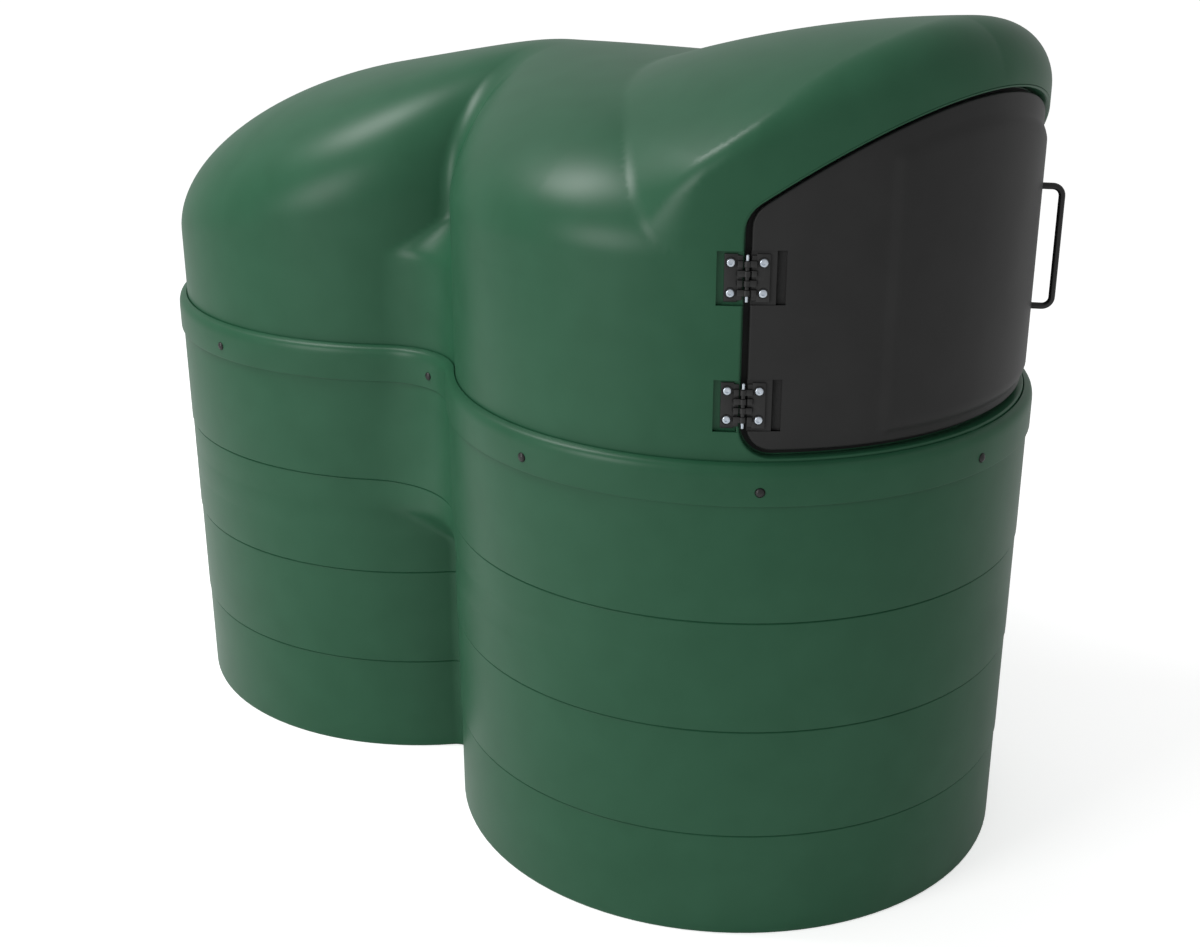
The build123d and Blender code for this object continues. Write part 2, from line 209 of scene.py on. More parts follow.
# Screws of the skirt
RIM_SCREW = 9.0
RIM_SCREW_RISE = 5.5
RIM_SCREW_SINK = 0.3
RIM_SCREW_HEIGHT = 1011.0
# Edge of its washer: distance past the head and height
RIM_WASHER = ((1.2, -0.5), (1.0, 0.6))
RIM_ANGLES = (-90, -45, 0, 45, 90)
# The dome stops just short of its middle, so that its last ring still has a width
DOME_STOP = 0.05

# Handle
HANDLE_ANGLE = radians(34.0)
HANDLE_LOW = 1233.0
HANDLE_LONG = 257.0
HANDLE_ROD = 14.0
HANDLE_REACH = 42.0
HANDLE_BEND = 20.0
HANDLE_SINK = 1
HANDLE_START = 10

# Camera, as fitted to the photograph
LENS = 49.195
CAMERA_PLACE = (2.83346, -2.70122, 2.16078)
CAMERA_DOWN = radians(21.1366)
CAMERA_TURN = radians(135.2049)


# Making pieces

def solid(name, points, faces):
    """Object of a mesh from points in millimetres, with its faces turned outwards."""
    mesh = bpy.data.meshes.new(name)
    mesh.from_pydata((np.asarray(points) * MM).tolist(), [], [list(map(int, face)) for face in faces])
    mesh.validate()
    bm = bmesh.new()
    bm.from_mesh(mesh)
    bmesh.ops.recalc_face_normals(bm, faces=bm.faces[:])
    bm.to_mesh(mesh)
    bm.free()
    obj = bpy.data.objects.new(name, mesh)
    bpy.context.scene.collection.objects.link(obj)
    return obj


def piece(name, points, faces, finish, body="tank", sharp=35):
    """Piece that rides on its body, with its material and soft shading up to an angle in degrees."""
    obj = solid(name, points, faces)
    obj.data.materials.append(finish)
    obj.data.shade_smooth()
    obj.data.set_sharp_from_angle(angle=radians(sharp))
    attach(obj, body)
    return obj


def joined(rows, capped=False):
    """Points and faces of a band that joins rings of points."""
    rows = np.asarray(rows, dtype=float)
    count, long = rows.shape[:2]
    faces = []
    for r in range(count - 1):
        for n in range(long):
            m = (n + 1) % long
            faces.append((r * long + n, r * long + m, (r + 1) * long + m, (r + 1) * long + n))
    if capped:
        faces.append(tuple(range(long))[::-1])
        faces.append(tuple(range((count - 1) * long, count * long)))
    return rows.reshape(-1, 3), faces


def lathe(profile, turns=36):
    """Points and faces of a turned piece: pairs of radius and height, about the Z axis."""
    angles = np.linspace(0, 2 * pi, turns, endpoint=False)
    rows = [np.stack([r * np.cos(angles), r * np.sin(angles), np.full(turns, z)], 1) for r, z in profile]
    return joined(rows, capped=True)


def together(*parts):
    """Several sets of points and faces as one."""
    points, faces = [], []
    for some, theirs in parts:
        start = sum(len(p) for p in points)
        points.append(np.asarray(some, dtype=float))
        faces += [tuple(start + n for n in face) for face in theirs]
    return np.concatenate(points), faces


def moved(part, matrix):
    """Points and faces after a matrix."""
    points, faces = part
    m = np.array(matrix)
    return np.asarray(points) @ m[:3, :3].T + m[:3, 3], faces


def rounded_block(low, high, edge=0, steps=2):
    """Points and faces of a block between two corners, with its edges rounded by a radius."""
    bm = bmesh.new()
    size = [b - a for a, b in zip(low, high)]
    middle = [(a + b) / 2 for a, b in zip(low, high)]
    bmesh.ops.create_cube(bm, size=1.0, matrix=Matrix.Translation(middle) @ Matrix.Diagonal((*size, 1)))
    if edge:
        bmesh.ops.bevel(bm, geom=bm.edges[:], offset=edge, segments=steps, profile=0.5, affect="EDGES")
    bm.verts.index_update()
    points = np.array([v.co[:] for v in bm.verts])
    faces = [tuple(v.index for v in f.verts) for f in bm.faces]
    bm.free()
    return points, faces


def cut(obj, *tools):
    """Take tool shapes, given as points and faces in millimetres, out of a piece's mesh."""
    for points, faces in tools:
        tool = solid("tool", points, faces)
        mesh = tool.data
        carve = obj.modifiers.new("carve", "BOOLEAN")
        carve.operation = "DIFFERENCE"
        carve.object = tool
        bake(obj)
        bpy.data.objects.remove(tool)
        bpy.data.meshes.remove(mesh)


def bake(obj):
    """Apply a piece's modifiers to its mesh."""
    bpy.context.view_layer.update()
    made = bpy.data.meshes.new_from_object(obj.evaluated_get(bpy.context.evaluated_depsgraph_get()))
    obj.modifiers.clear()
    obj.data = made


# Plan of the tank

def waist_blend(radius, waist):
    """Radius of the concave arc that joins the lobes at a waist."""
    return (LOBE**2 + waist**2 - radius**2) / (2 * (radius - waist))


def plan_ring(radius, waist, z, lobe_turns=90, waist_turns=14):
    """Ring of points round the tank at a height, evenly spread on each lobe and in each waist."""
    blend = waist_blend(radius, waist)
    share = radius / (radius + blend)
    touch = np.arctan2((waist + blend) * share, LOBE * (1 - share) - LOBE)
    lobe = np.linspace(-touch, touch, lobe_turns)
    front = np.stack([LOBE + radius * np.cos(lobe), radius * np.sin(lobe)], 1)
    open_angle = atan(LOBE / (waist + blend))
    turn = np.linspace(open_angle, -open_angle, waist_turns + 2)[1:-1]
    left = np.stack([blend * np.sin(turn), waist + blend - blend * np.cos(turn)], 1)
    ring = np.concatenate([front, left, -front, -left])
    return np.column_stack([ring, np.full(len(ring), z)])


def eased(stations, cuts, steps=5):
    """Profile stations with their corners rounded; a cut is the length taken off each side."""
    stations = np.array(stations, dtype=float)
    out = [stations[0]]
    for before, at, after, cut_long in zip(stations, stations[1:], stations[2:], cuts):
        back, ahead = before - at, after - at
        a = at + back * min(0.5, cut_long / np.linalg.norm(back))
        b = at + ahead * min(0.5, cut_long / np.linalg.norm(ahead))
        for t in np.linspace(0, 1, steps) if cut_long else [0.5]:
            out.append((1 - t) ** 2 * a + 2 * t * (1 - t) * at + t * t * b if cut_long else at)
    out.append(stations[-1])
    return out


def by_hood(gap, z, *ease):
    """Station of the bund's profile that follows the hood's wall at a distance."""
    return HOOD_RADIUS + gap, HOOD_WAIST + gap, z, *ease


def bund_tank(finish):
    """Bund: bands that step out towards the top, a belly over each valley and a rounded rim."""
    valley = SKIRT_WAIST - BUND_VALLEY
    belly = SKIRT_WAIST + BELLY
    skirt_foot = SKIRT_WAIST - SKIRT_STEP / 2
    radii = [SKIRT_RADIUS - SKIRT_STEP - BAND_STEP * n for n in (3, 2, 1, 0)]
    first, second, third = STEP_HEIGHTS
    deep, tall = GROOVE_DEEP, GROOVE_TALL
    # Each row: radius of the lobes, half width of the waist, height, easing of the corner
    outer = [
        (radii[0] - FLOOR_LEAN, valley - FLOOR_LEAN, 0, SHARP),
        (radii[0], valley, 0, FLOOR_EASE),
        (radii[0], valley, first - tall, BAND_EASE),
        (radii[0] - deep, valley - deep, first - tall / 2, GROOVE_EASE),
        (radii[1], valley + VALLEY_STEP, first, BAND_EASE),
        (radii[1], valley + VALLEY_STEP, second - tall, BAND_EASE),
        (radii[1] - deep, valley - deep, second - tall / 2, GROOVE_EASE),
        (radii[2], valley + 2 * VALLEY_STEP, second, BAND_EASE),
        (radii[2], valley + 2 * VALLEY_STEP, LEDGE_LOW, LEDGE_EASE),
        (radii[2], belly, LEDGE_HIGH, LEDGE_EASE),
        (radii[2], belly, third - tall, BAND_EASE),
        (radii[2] - deep, belly - deep, third - tall / 2, GROOVE_EASE),
        (radii[3], belly + VALLEY_STEP, third, BAND_EASE),
        (radii[3], skirt_foot, SKIRT_BOTTOM - tall / 2, BAND_EASE),
        (radii[3] - deep, skirt_foot - deep, SKIRT_BOTTOM, SHARP),
        (SKIRT_RADIUS, SKIRT_WAIST, SKIRT_BOTTOM - SKIRT_LIP, LIP_EASE),
        (SKIRT_RADIUS, SKIRT_WAIST, RIM_TOP - RIM_FALL, RIM_EASE),
        by_hood(RIM_LAND, RIM_TOP, LIP_EASE),
        by_hood(RIM_SEAM, RIM_TOP - SEAM_DEEP, SHARP),
    ]
    inner = [
        by_hood(RIM_SEAM, HOOD_BOTTOM),
        by_hood(-THROAT_LEDGE, HOOD_BOTTOM),
        by_hood(-THROAT_LEDGE, SKIRT_BOTTOM),
        (radii[3] - BUND_WALL, SKIRT_WAIST - BUND_WALL, SKIRT_BOTTOM - BUND_WALL),
        (radii[2] - BUND_WALL, belly - BUND_WALL, LEDGE_HIGH + BUND_WALL),
        (radii[2] - BUND_WALL, valley - BUND_WALL, LEDGE_LOW + BUND_WALL),
        (radii[0] - BUND_WALL, valley - BUND_WALL, BUND_WALL),
    ]
    profile = eased([row[:3] for row in outer], [row[3] for row in outer[1:-1]])
    rows = [plan_ring(radius, waist, z) for radius, waist, z in profile + inner]
    points, faces = joined(rows, capped=True)
    return piece("bund_shell", points, faces, finish, sharp=30)


# Hood, drawn as a form: a function of place that is negative inside

def ramp(t, ease):
    """Zero before a point and rising after it, with the corner eased."""
    return (t + np.sqrt(t * t + ease * ease)) / 2


def hood_waist(z):
    """Half width of the hood's waist at a height: upright, then sloping in to the valley."""
    top = SADDLE_EDGE + SADDLE_RISE
    slope = ramp(z - SADDLE_EDGE, SADDLE_EASE) - ramp(z - top, SADDLE_EASE)
    return HOOD_WAIST - HOOD_VALLEY * slope / SADDLE_RISE


def half_width(x, radius, waist):
    """Half of the plan's width at a distance from its middle."""
    blend = waist_blend(radius, waist)
    touch = LOBE * blend / (radius + blend)
    hollow = waist + blend - np.sqrt(np.maximum(blend**2 - x**2, 0))
    lobe = np.sqrt(np.maximum(radius**2 - (np.abs(x) - LOBE) ** 2, 1))
    return np.where(np.abs(x) < touch, hollow, lobe)


def lobes_form(x, y, z):
    """Two domes and the saddle between them, over upright sides."""
    least_level, least_slope = 0.05, 0.0005
    spine = np.clip(x, -LOBE, LOBE)
    share = (spine + LOBE) / (2 * LOBE)
    rise = REAR_RISE + (FRONT_RISE - REAR_RISE) * share
    crest = FRONT_APEX - ramp(FRONT_APEX - REAR_APEX - CREST_SLOPE * (x + LOBE), CREST_EASE)
    width = half_width(spine, HOOD_RADIUS, hood_waist(z))
    across = np.hypot(x - spine, y)
    above = np.maximum(z - crest + rise, 0)
    level = np.hypot(across / width, above / rise)
    slope = np.hypot(across / width**2, above / rise**2) / np.maximum(level, least_level)
    return (level - 1) / np.maximum(slope, least_slope)


def both(a, b, edge):
    """What lies in both forms, with a rounded edge."""
    return np.minimum(np.maximum(a, b), -edge) + np.hypot(np.maximum(a + edge, 0), np.maximum(b + edge, 0))


def canopy_form(x, y, z):
    """Vault over the cabinet, rounded over the door and cut back at its sides."""
    ahead = x - LOBE
    side = np.abs(y)
    arch = np.sqrt(CANOPY_ARCH**2 - np.minimum(side, CANOPY_ARCH * ARCH_SHARE) ** 2)
    roof = (z - np.polyval(CANOPY_CURVE, x) + CANOPY_ARCH - arch) * arch / CANOPY_ARCH
    wall = np.hypot(ahead, y) - HOOD_RADIUS
    angle = np.degrees(np.arctan2(side, ahead))
    form = both(roof, wall, np.interp(angle, NOSE_ANGLES, NOSE_EDGES))
    u, v = ((c - middle) / reach for c, middle, reach in zip((x, z), SIDE_MIDDLE, SIDE_REACH))
    face = sum(w * term for w, term in zip(SIDE_WIDTHS, (1, u, v, u * u, u * v, v * v)))
    return both(form, (side - face) * SIDE_LEAN, SIDE_EDGE)


def steepest(form, x, y, z):
    """Unit direction in which a form grows fastest."""
    step, least = 1.0, 1e-9
    growth = np.stack([
        form(x + step, y, z) - form(x - step, y, z),
        form(x, y + step, z) - form(x, y - step, z),
        form(x, y, z + step) - form(x, y, z - step),
    ])
    return growth / np.maximum(np.linalg.norm(growth, axis=0), least)


def hood_form(x, y, z):
    """Whole hood: the valley where the canopy meets the lobes is filleted as far as it is sharp."""
    lobes, canopy = lobes_form(x, y, z), canopy_form(x, y, z)
    bend = (steepest(lobes_form, x, y, z) * steepest(canopy_form, x, y, z)).sum(0)
    fillet = VALLEY_FILLET * np.clip((1 - bend) / FULL_BEND, 0, 1)
    return -both(-lobes, -canopy, fillet)


def skin(form, low, high, step):
    """Quads on a form's surface: one point to each cell of a lattice that the surface crosses."""
    axes = [np.arange(a, b + step, step) for a, b in zip(low, high)]
    grid = np.meshgrid(*axes, indexing="ij")
    value = form(*grid)
    inside = value < 0
    cells = tuple(n - 1 for n in value.shape)
    total = np.zeros(cells + (3,))
    hits = np.zeros(cells)
    crossings = []
    for axis in range(3):
        lower = [slice(None)] * 3
        upper = [slice(None)] * 3
        lower[axis] = slice(0, -1)
        upper[axis] = slice(1, None)
        a, b = value[tuple(lower)], value[tuple(upper)]
        crossed = (a < 0) != (b < 0)
        share = np.where(crossed, a / np.where(crossed, a - b, 1), 0)
        place = np.stack(np.indices(crossed.shape), -1).astype(float)
        place[..., axis] += share
        crossings.append((crossed, inside[tuple(lower)]))
        others = [n for n in range(3) if n != axis]
        for shift in ((0, 0), (0, 1), (1, 0), (1, 1)):
            part = [slice(None)] * 3
            for other, start in zip(others, shift):
                part[other] = slice(start, start + cells[other])
            part = tuple(part)
            total += place[part] * crossed[part][..., None]
            hits += crossed[part]
    used = hits > 0
    number = np.full(cells, -1)
    number[used] = np.arange(used.sum())
    points = np.array(low) + step * total[used] / hits[used][:, None]
    faces = []
    for axis, (crossed, from_inside) in enumerate(crossings):
        first, second = (axis + 1) % 3, (axis + 2) % 3
        where = np.argwhere(crossed)
        ok = (where[:, first] > 0) & (where[:, second] > 0)
        ok &= (where[:, first] < cells[first]) & (where[:, second] < cells[second])
        where = where[ok]
        corners = []
        for da, db in ((-1, -1), (0, -1), (0, 0), (-1, 0)):
            at = where.copy()
            at[:, first] += da
            at[:, second] += db
            corners.append(number[tuple(at.T)])
        quads = np.stack(corners, 1)
        turned = ~from_inside[tuple(where.T)]
        quads[turned] = quads[turned][:, ::-1]
        faces.append(quads)
    return settle(form, points, np.concatenate(faces), step)


def settle(form, points, faces, step):
    """Even out the points and move them onto the form's true surface."""
    edges = np.concatenate([faces[:, [n, (n + 1) % 4]] for n in range(4)])
    low = points[:, 2].min() + step / 2
    for _ in range(SETTLE_ROUNDS):
        total = np.zeros_like(points)
        count = np.zeros(len(points))
        for a, b in ((0, 1), (1, 0)):
            np.add.at(total, edges[:, a], points[edges[:, b]])
            np.add.at(count, edges[:, a], 1)
        free = points[:, 2] > low
        points[free] += 0.5 * (total[free] / count[free][:, None] - points[free])
        for _ in range(PULLS):
            x, y, z = points.T
            away = steepest(form, x, y, z) * form(x, y, z)
            points = points - np.clip(away.T, -step, step)
    return points, faces


def hood_shell(finish):
    """Hood wall with its cabinet opening and the pockets of the hinges cut out."""
    wide = HOOD_RADIUS + LATTICE_MARGIN
    low = (-LOBE - wide, -wide, HOOD_BOTTOM)
    high = (LOBE + wide, wide, CANOPY_LINE[-1][1] + LATTICE_MARGIN)
    points, faces = skin(hood_form, low, high, LATTICE)
    obj = piece("hood_shell", points, faces, finish)
    wall = obj.modifiers.new("wall", "SOLIDIFY")
    wall.thickness = HOOD_WALL * MM
    wall.offset = -1
    bake(obj)
    tools = [door_block(opening_shape(EDGE_ROLL), JAMB_RADIUS - TOOL_IN, HOOD_RADIUS + TOOL_OUT)]
    for height in HINGE_HEIGHTS.values():
        low = (-POCKET_FLOOR - TOOL_IN, -HOOD_POCKET, height - POCKET_TALL / 2)
        high = (TOOL_OUT, 0, height + POCKET_TALL / 2)
        tools.append(moved(rounded_block(low, high), HINGE_PLACE))
    cut(obj, *tools)
    true_shading(obj, hood_form)
    return obj


def true_shading(obj, form):
    """Shade a cut skin by its form's own direction, and its cut walls flat."""
    alike = 0.8
    mesh = obj.data
    corners = np.empty(len(mesh.loops), dtype=int)
    mesh.loops.foreach_get("vertex_index", corners)
    places = np.empty(len(mesh.vertices) * 3)
    mesh.vertices.foreach_get("co", places)
    places = places.reshape(-1, 3) / MM
    growth = steepest(form, *places.T).T
    flat = np.empty(len(mesh.polygons) * 3)
    mesh.polygons.foreach_get("normal", flat)
    sizes = np.empty(len(mesh.polygons), dtype=int)
    mesh.polygons.foreach_get("loop_total", sizes)
    flat = np.repeat(flat.reshape(-1, 3), sizes, axis=0)
    smooth = growth[corners]
    match = (flat * smooth).sum(1)
    smooth = smooth * np.sign(match)[:, None]
    chosen = np.where(np.abs(match)[:, None] > alike, smooth, flat)
    mesh.shade_smooth()
    mesh.normals_split_custom_set(chosen.tolist())


# Door: places on its curved face are a distance along the wall and a height

def on_door(along, z, radius):
    """Point on the front lobe at a distance along the door's face, a height and a radius."""
    angle = np.asarray(along) / DOOR_RADIUS
    radius = np.broadcast_to(radius, angle.shape)
    z = np.broadcast_to(z, angle.shape)
    return np.stack([LOBE + radius * np.cos(angle), radius * np.sin(angle), z], -1)


def opening_shape(reach):
    """Half width, bottom, top and corner radius of the opening, or of an outline beyond it."""
    half = DOOR_RADIUS * DOOR_HALF_ANGLE + DOOR_GAP + reach
    top = DOOR_TOP + TOP_GAP + reach * hypot(1, DOOR_SLOPE)
    return half, DOOR_BOTTOM - DOOR_GAP - reach, top, DOOR_CORNER + DOOR_GAP + reach


def top_line(along, top):
    """Height of the sloping top edge, a plane cut across the lobe."""
    return top + DOOR_SLOPE * DOOR_RADIUS * (np.cos(along / DOOR_RADIUS) - 1)


def top_fall(along):
    """Angle at which the top edge falls towards the sides."""
    return np.arctan(DOOR_SLOPE * np.sin(along / DOOR_RADIUS))


def heights(along, shape):
    """Lowest and highest point of a door-shaped outline at distances along the wall."""
    half, low, top, corner = shape
    side = np.abs(along)
    centre = half - corner
    beyond = np.clip(side - centre, 0, corner)
    bottom = low + corner - np.sqrt(corner**2 - beyond**2)
    touch = centre
    for _ in range(TOUCH_ROUNDS):
        touch = centre + corner * sin(top_fall(touch))
    level = top_line(touch, top) - corner * cos(top_fall(touch))
    rounded = level + np.sqrt(corner**2 - beyond**2)
    return bottom, np.where(side > touch, rounded, top_line(along, top))


def columns(shape, knots=(), spacing=12.0, corner_steps=9):
    """Distances along the wall at which an outline is divided, closer in its corners."""
    half, low, top, corner = shape
    centre = half - corner
    turn = centre + corner * np.sin(np.linspace(0, pi / 2, corner_steps))
    flat = [-centre, *knots, centre]
    runs = [np.linspace(a, b, max(2, round((b - a) / spacing) + 1))[:-1] for a, b in zip(flat, flat[1:])]
    return np.concatenate([-turn[:0:-1], *runs, turn])


def ring_round(grid):
    """Edge of a grid of points as one ring, anticlockwise seen from outside."""
    return np.concatenate([grid[:-1, 0], grid[-1, :-1], grid[:0:-1, -1], grid[0, :0:-1]])


def outline_ring(shape, side_rows=12):
    """Ring round a door-shaped outline and its outward directions, in the unrolled face."""
    along = columns(shape)
    bottom, top = heights(along, shape)
    edges = []
    for height in HINGE_HEIGHTS.values():
        for edge in (height - POCKET_TALL / 2, height + POCKET_TALL / 2):
            edges += [edge - POCKET_EASE, edge + POCKET_EASE]
    marks = (np.array(edges) - bottom[0]) / (top[0] - bottom[0])
    share = np.sort(np.concatenate([np.linspace(0, 1, side_rows), marks[(marks > 0) & (marks < 1)]]))
    z = bottom[:, None] + (top - bottom)[:, None] * share
    grid = np.stack([np.broadcast_to(along[:, None], z.shape), z], -1)
    ring = ring_round(grid)
    return ring, outward(ring)


def outward(ring):
    """Outward directions of an anticlockwise ring."""
    way = np.roll(ring, -1, 0) - np.roll(ring, 1, 0)
    way /= np.linalg.norm(way, axis=1)[:, None]
    return np.stack([way[:, 1], -way[:, 0]], 1)


def ring_rows(shape, stations):
    """Rings that follow an outline at pairs of distance beyond it and radius."""
    ring, away = outline_ring(shape)
    at_pocket = [np.abs(ring[:, 1] - height) < POCKET_TALL / 2 for height in HINGE_HEIGHTS.values()]
    at_pocket = np.any(at_pocket, 0) & (ring[:, 0] < TOOL_OUT - shape[0])
    deepest = DOOR_RADIUS + AXIS_PROUD - POCKET_FLOOR - POCKET_EASE
    rows = []
    for beyond, radius in stations:
        at = ring + away * beyond
        rows.append(on_door(at[:, 0], at[:, 1], np.where(at_pocket, min(radius, deepest), radius)))
    return rows


def door_block(shape, inner, outer):
    """Closed curved block between two radii, used to cut the opening."""
    along = columns(shape)
    bottom, top = heights(along, shape)
    points, faces = [], []
    count = len(along)
    for radius in (inner, outer):
        points += [on_door(along, bottom, radius), on_door(along, top, radius)]
    inner_low, inner_high, outer_low, outer_high = (n * count for n in range(4))
    for n in range(count - 1):
        faces.append((inner_low + n, inner_high + n, inner_high + n + 1, inner_low + n + 1))
        faces.append((outer_low + n, outer_low + n + 1, outer_high + n + 1, outer_high + n))
        faces.append((inner_low + n, inner_low + n + 1, outer_low + n + 1, outer_low + n))
        faces.append((inner_high + n + 1, inner_high + n, outer_high + n, outer_high + n + 1))
    for n in (0, count - 1):
        faces.append((inner_low + n, outer_low + n, outer_high + n, inner_high + n))
    return np.concatenate(points), faces


def rolled(radius, side=1, steps=5):
    """Stations of a rounded edge that turns from an outer face into its side wall."""
    turns = np.linspace(0, pi / 2, steps)
    return [(side * EDGE_ROLL * (1 - sin(t)), radius - EDGE_ROLL * (1 - cos(t))) for t in turns]


def opening_frame(finish):
    """Moulded edge of the opening: it rolls in from the hood's face and runs back as a jamb."""
    jamb = [(EDGE_ROLL + JAMB_LAP, HOOD_RADIUS - JAMB_SINK), *rolled(HOOD_RADIUS)]
    jamb += [(0, JAMB_RADIUS + LIP_EDGE), (LIP_EDGE, JAMB_RADIUS)]
    jamb += [(JAMB_WALL, JAMB_RADIUS), (JAMB_WALL, DOOR_RADIUS)]
    inner_lip = LIP_RADIUS - JAMB_WALL
    lip = [(LIP_LAP, LIP_RADIUS), (LIP_EDGE - LIP_REACH, LIP_RADIUS), (-LIP_REACH, LIP_RADIUS - LIP_EDGE)]
    lip += [(-LIP_REACH, inner_lip), (LIP_LAP, inner_lip), (LIP_LAP, LIP_RADIUS)]
    parts = [joined(ring_rows(opening_shape(0), stations)) for stations in (jamb, lip)]
    return piece("opening_frame", *together(*parts), finish, sharp=50)


def door_seal(finish):
    """Rubber seal of the opening: a flange on the lip and a bulb under the door."""
    deep = (DOOR_RADIUS - DOOR_WALL - LIP_RADIUS) / 2 - SEAT
    middle = LIP_RADIUS + SEAT + deep
    turns = np.linspace(0, 2 * pi, 13)
    bulb = [(SEAL_WIDE / 2 * (1 - sin(t)) - LIP_REACH, middle + deep * cos(t)) for t in turns]
    top, foot = LIP_RADIUS + SEAL_FLANGE, LIP_RADIUS + SEAT
    flange = [(-SEAL_START, top), (-LIP_REACH, top), (-LIP_REACH, foot), (-SEAL_START, foot)]
    flange.append(flange[0])
    parts = [joined(ring_rows(opening_shape(0), stations)) for stations in (bulb, flange)]
    return piece("door_seal_trim", *together(*parts), finish, sharp=60)


def panel_depth(along, z):
    """How far a place on the door lies inside the raised panel's outline."""
    left, right = (DOOR_RADIUS * angle for angle in PANEL_ANGLES)
    under_top = (top_line(along, DOOR_TOP) - PANEL_DROP - z) * np.cos(top_fall(along))
    across = both(left - along, along - right, PANEL_CORNER)
    upright = both(PANEL_BOTTOM - z, -under_top, PANEL_CORNER)
    return -both(across, upright, PANEL_CORNER)


def panel_rise(along, z):
    """How far the door's face stands forward: nothing, a bevel, then the raised panel."""
    depth = panel_depth(along, z)
    slope = ramp(depth, BEVEL_EASE) - ramp(depth - PANEL_BEVEL, BEVEL_EASE)
    return PANEL_RISE * slope / PANEL_BEVEL


def panel_grid(shape):
    """Places on the door's face, closer together along the bends of the raised panel."""
    left, right = (DOOR_RADIUS * angle for angle in PANEL_ANGLES)
    near = BEND_SPREAD
    bends = [left + near, left + PANEL_BEVEL + near, right - PANEL_BEVEL + near, right + near]
    along = columns(shape, np.concatenate(bends), 9.0)
    lowest, line = shape[1], top_line(along, shape[2])[:, None]
    bevel = np.concatenate([near, [PANEL_BEVEL / 2], PANEL_BEVEL + near])
    lower = np.concatenate([[lowest], PANEL_BOTTOM + bevel])
    drops = PANEL_DROP - (DOOR_TOP - shape[2]) + bevel[::-1]
    low_rows = np.broadcast_to(lower, (len(along), len(lower)))
    high_rows = np.concatenate([line - drops, line], 1)
    share = np.linspace(0, 1, PANEL_ROWS)[1:-1]
    between = low_rows[:, -1:] + (high_rows[:, :1] - low_rows[:, -1:]) * share
    rows = np.concatenate([low_rows, between, high_rows], 1)
    bottom, top = (edge[:, None] for edge in heights(along, shape))
    z = bottom + (rows - lowest) / (line - lowest) * (top - bottom)
    return np.broadcast_to(along[:, None], z.shape), z


def door_skin(finish):
    """Door of one curved skin with rolled edges, a raised, bevelled panel and its hinge pockets."""
    half = DOOR_RADIUS * DOOR_HALF_ANGLE
    inset = EDGE_ROLL * hypot(1, DOOR_SLOPE)
    shape = (half - EDGE_ROLL, DOOR_BOTTOM + EDGE_ROLL, DOOR_TOP - inset, DOOR_CORNER - EDGE_ROLL)
    place, z = panel_grid(shape)
    rise = panel_rise(place, z)
    front = on_door(place, z, DOOR_RADIUS + rise)
    back = on_door(place, z, DOOR_RADIUS - DOOR_WALL + rise)
    number = np.arange(z.size).reshape(z.shape)
    corners = (number[:-1, :-1], number[1:, :-1], number[1:, 1:], number[:-1, 1:])
    quads = np.stack(corners, -1).reshape(-1, 4)
    ring = ring_round(np.stack([place, z], -1))
    away = outward(ring)
    edge_rows = [ring_round(front)]
    for beyond, radius in rolled(DOOR_RADIUS, -1)[1:] + [(0, DOOR_RADIUS - DOOR_WALL)]:
        at = ring + away * (EDGE_ROLL + beyond)
        edge_rows.append(on_door(at[:, 0], at[:, 1], radius))
    edge_rows.append(ring_round(back))
    parts = (front.reshape(-1, 3), quads), (back.reshape(-1, 3), quads[:, ::-1]), joined(edge_rows[::-1])
    obj = piece("door_skin", *together(*parts), finish, "door", sharp=50)
    weld = obj.modifiers.new("weld", "WELD")
    weld.merge_threshold = 0.01 * MM
    bake(obj)
    tools = []
    for height in HINGE_HEIGHTS.values():
        low, high = height - POCKET_TALL / 2, height + POCKET_TALL / 2
        slot_low = (-SLOT_DEPTH, DOOR_POCKET - SLOT_WIDE, low)
        slot_high = (TOOL_OUT - 1, DOOR_POCKET - TOOL_APART, high - TOOL_APART)
        pocket = rounded_block((-POCKET_FLOOR, -TOOL_OUT, low), (TOOL_OUT, DOOR_POCKET, high))
        tools += [moved(pocket, HINGE_PLACE), moved(rounded_block(slot_low, slot_high), HINGE_PLACE)]
    cut(obj, *tools)
    obj.data.set_sharp_from_angle(angle=radians(40))
    return obj


# Hinges and handle, drawn about the hinge axis: X outwards, Y towards the door

def lining(name, low, high, rim, finish, body, open_side=0):
    """Moulded lining behind a pocket: its floor and walls, up to a rim under the skin."""
    wall = LINING_WALL
    outer_low = (low[0] - wall, low[1] - wall * (open_side >= 0), low[2] - wall)
    outer_high = (rim, high[1] + wall * (open_side <= 0), high[2] + wall)
    obj = piece(name, *moved(rounded_block(outer_low, outer_high), HINGE_PLACE), finish, body)
    hollow_high = (TOOL_OUT, high[1] + LINING_OPEN * (open_side > 0), high[2])
    cut(obj, moved(rounded_block(low, hollow_high), HINGE_PLACE))
    return obj


def leaf_block(side, start, end, top, z, tall):
    """Rounded block of the leaf on one side, between two distances from the pin."""
    near, far = sorted((side * start, side * end))
    return rounded_block((SEAT - POCKET_FLOOR, near, z - tall / 2), (top, far, z + tall / 2), LEAF_EDGE)


def knuckle(z):
    """Ring of the barrel about the pin, with softened ends."""
    inset, edge = KNUCKLE_EDGE
    low, high = KNUCKLE_RADIUS - inset, KNUCKLE_RADIUS
    profile = [(low, 0), (high, edge), (high, KNUCKLE_TALL - edge), (low, KNUCKLE_TALL)]
    return moved(lathe(profile, 32), Matrix.Translation((0, 0, z - KNUCKLE_TALL / 2)))


def sleeve(height):
    """Sleeve round the pin, seen in the slots between the knuckles."""
    half = ((KNUCKLES - 1) * KNUCKLE_PITCH + KNUCKLE_TALL) / 2
    turned = lathe([(SLEEVE_RADIUS, -half), (SLEEVE_RADIUS, half)], 24)
    return moved(turned, Matrix.Translation((0, 0, height)))


